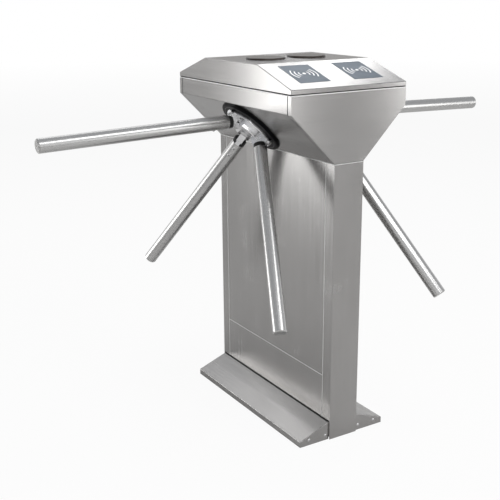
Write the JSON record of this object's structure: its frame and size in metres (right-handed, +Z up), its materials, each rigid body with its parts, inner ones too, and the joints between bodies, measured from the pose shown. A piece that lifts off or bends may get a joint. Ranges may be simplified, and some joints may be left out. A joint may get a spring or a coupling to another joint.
{
  "type": "tripod turnstile",
  "caption": "Double tripod turnstile: a slim brushed steel column with a wide head and a three-arm rotor on each side.",
  "frame": {"origin": "on the floor, at the centre of the column", "axes": "+X across the passage, +Y along the passage away from the card readers, +Z up"},
  "size_m": [1.4762, 0.7904, 1.055],
  "materials": {
    "brushed_sheet": "satin brushed stainless sheet",
    "tube_steel": "fine brushed stainless tube",
    "cast_hub": "cast, satin",
    "plain_steel": "turned steel",
    "frame_paint": "matt grey paint",
    "black_collar": "gloss black",
    "black_plug": "matt black",
    "seal_rubber": "matt",
    "reader_slate": "smooth slate blue",
    "lens_dark": "smooth dark brown",
    "board_green": "coated circuit board",
    "board_blue": "coated circuit board",
    "case_zinc": "plain light grey",
    "terminal_grey": "plain",
    "bracket_alloy": "milled",
    "bearing_steel": "ground",
    "motor_black": "dark grey paint",
    "solenoid_blue": "blue grey paint",
    "sensor_orange": "plain",
    "gear_brass": "turned"
  },
  "bodies": {
    "cabinet": {"base_plate": "frame_paint", "cable_grommet": "black_plug", "inner_frame": "frame_paint", "column_front_cover": "brushed_sheet", "column_back_cover": "brushed_sheet", "upper_panel_left": "brushed_sheet", "upper_panel_right": "brushed_sheet", "lower_panel_left": "brushed_sheet", "lower_panel_right": "brushed_sheet", "toe_cover_left": "brushed_sheet", "toe_cover_right": "brushed_sheet", "head_front_plate": "brushed_sheet", "head_back_plate": "brushed_sheet", "head_side_left": "brushed_sheet", "head_side_right": "brushed_sheet", "lid_seal": "seal_rubber", "casing_fasteners": "plain_steel", "control_board": "board_green", "power_supply": "case_zinc", "wiring_terminals": "terminal_grey", "rotor_collars": "black_collar", "chassis_plates": "bracket_alloy", "bearing_housings": "bracket_alloy", "bearings": "bearing_steel", "gearmotors": "motor_black", "solenoids": "solenoid_blue", "position_sensors": "sensor_orange", "lever_springs": "plain_steel", "lock_barrel": "plain_steel"},
    "lock_cam": {"lock_cam": "plain_steel"},
    "lid": {"top_lid": "brushed_sheet", "reader_windows": "reader_slate", "indicator_lenses": "lens_dark", "lid_boards": "board_blue"},
    "rotor_left": {"hub_left": "cast_hub", "arm_tube_left_1": "tube_steel", "arm_tube_left_2": "tube_steel", "arm_tube_left_3": "tube_steel", "arm_roots_left": "cast_hub", "arm_plugs_left": "black_plug", "arm_caps_left": "tube_steel", "arm_screws_left": "plain_steel", "shaft_left": "plain_steel", "shaft_discs_left": "plain_steel"},
    "motor_pinion_left": {"pinion_left": "gear_brass"},
    "lever_left": {"lock_lever_left": "plain_steel"},
    "solenoid_plunger_left": {"plunger_left": "bearing_steel"},
    "rotor_right": {"hub_right": "cast_hub", "arm_tube_right_1": "tube_steel", "arm_tube_right_2": "tube_steel", "arm_tube_right_3": "tube_steel", "arm_roots_right": "cast_hub", "arm_plugs_right": "black_plug", "arm_caps_right": "tube_steel", "arm_screws_right": "plain_steel", "shaft_right": "plain_steel", "shaft_discs_right": "plain_steel"},
    "motor_pinion_right": {"pinion_right": "gear_brass"},
    "lever_right": {"lock_lever_right": "plain_steel"},
    "solenoid_plunger_right": {"plunger_right": "bearing_steel"}
  },
  "joints": [
    {"name": "lid_lift", "type": "slide", "parent": "cabinet", "child": "lid", "axis": [0, 0, 1], "range_m": [0, 0.1]},
    {"name": "lock_cam_turn", "type": "hinge", "parent": "cabinet", "child": "lock_cam", "pos_m": [0, 0.2735, 0.958], "axis": [0, 1, 0], "range_deg": [0, 90]},
    {"name": "rotor_left_turn", "type": "hinge", "parent": "cabinet", "child": "rotor_left", "pos_m": [-0.11766, 0, 0.86766], "axis": [-0.7071, 0, -0.7071], "continuous": true},
    {"name": "pinion_left_turn", "type": "hinge", "parent": "cabinet", "child": "motor_pinion_left", "pos_m": [-0.06746, 0.07, 0.91787], "axis": [-0.7071, 0, -0.7071], "continuous": true},
    {"name": "lock_lever_left_turn", "type": "hinge", "parent": "cabinet", "child": "lever_left", "pos_m": [-0.02291, -0.066, 0.89453], "axis": [-0.7071, 0, -0.7071], "range_deg": [0, 8.5], "stiffness_Nm_per_rad": 0.5, "springref_deg": -5.73},
    {"name": "plunger_left_slide", "type": "slide", "parent": "cabinet", "child": "solenoid_plunger_left", "axis": [0, 1, 0], "range_m": [0, 0.0108]},
    {"name": "rotor_right_turn", "type": "hinge", "parent": "cabinet", "child": "rotor_right", "pos_m": [0.11766, 0, 0.86766], "axis": [0.7071, 0, -0.7071], "continuous": true},
    {"name": "pinion_right_turn", "type": "hinge", "parent": "cabinet", "child": "motor_pinion_right", "pos_m": [0.06746, -0.07, 0.91787], "axis": [0.7071, 0, -0.7071], "continuous": true},
    {"name": "lock_lever_right_turn", "type": "hinge", "parent": "cabinet", "child": "lever_right", "pos_m": [0.02291, 0.066, 0.89453], "axis": [0.7071, 0, -0.7071], "range_deg": [0, 8.5], "stiffness_Nm_per_rad": 0.5, "springref_deg": -5.73},
    {"name": "plunger_right_slide", "type": "slide", "parent": "cabinet", "child": "solenoid_plunger_right", "axis": [0, -1, 0], "range_m": [0, 0.0108]}
  ],
  "couplings": [
    {"joint": "pinion_left_turn", "follows": "rotor_left_turn", "ratio": -2.5},
    {"joint": "plunger_left_slide", "follows": "lock_lever_left_turn", "m_per_rad": 0.072},
    {"joint": "pinion_right_turn", "follows": "rotor_right_turn", "ratio": -2.5},
    {"joint": "plunger_right_slide", "follows": "lock_lever_right_turn", "m_per_rad": 0.072}
  ]
}
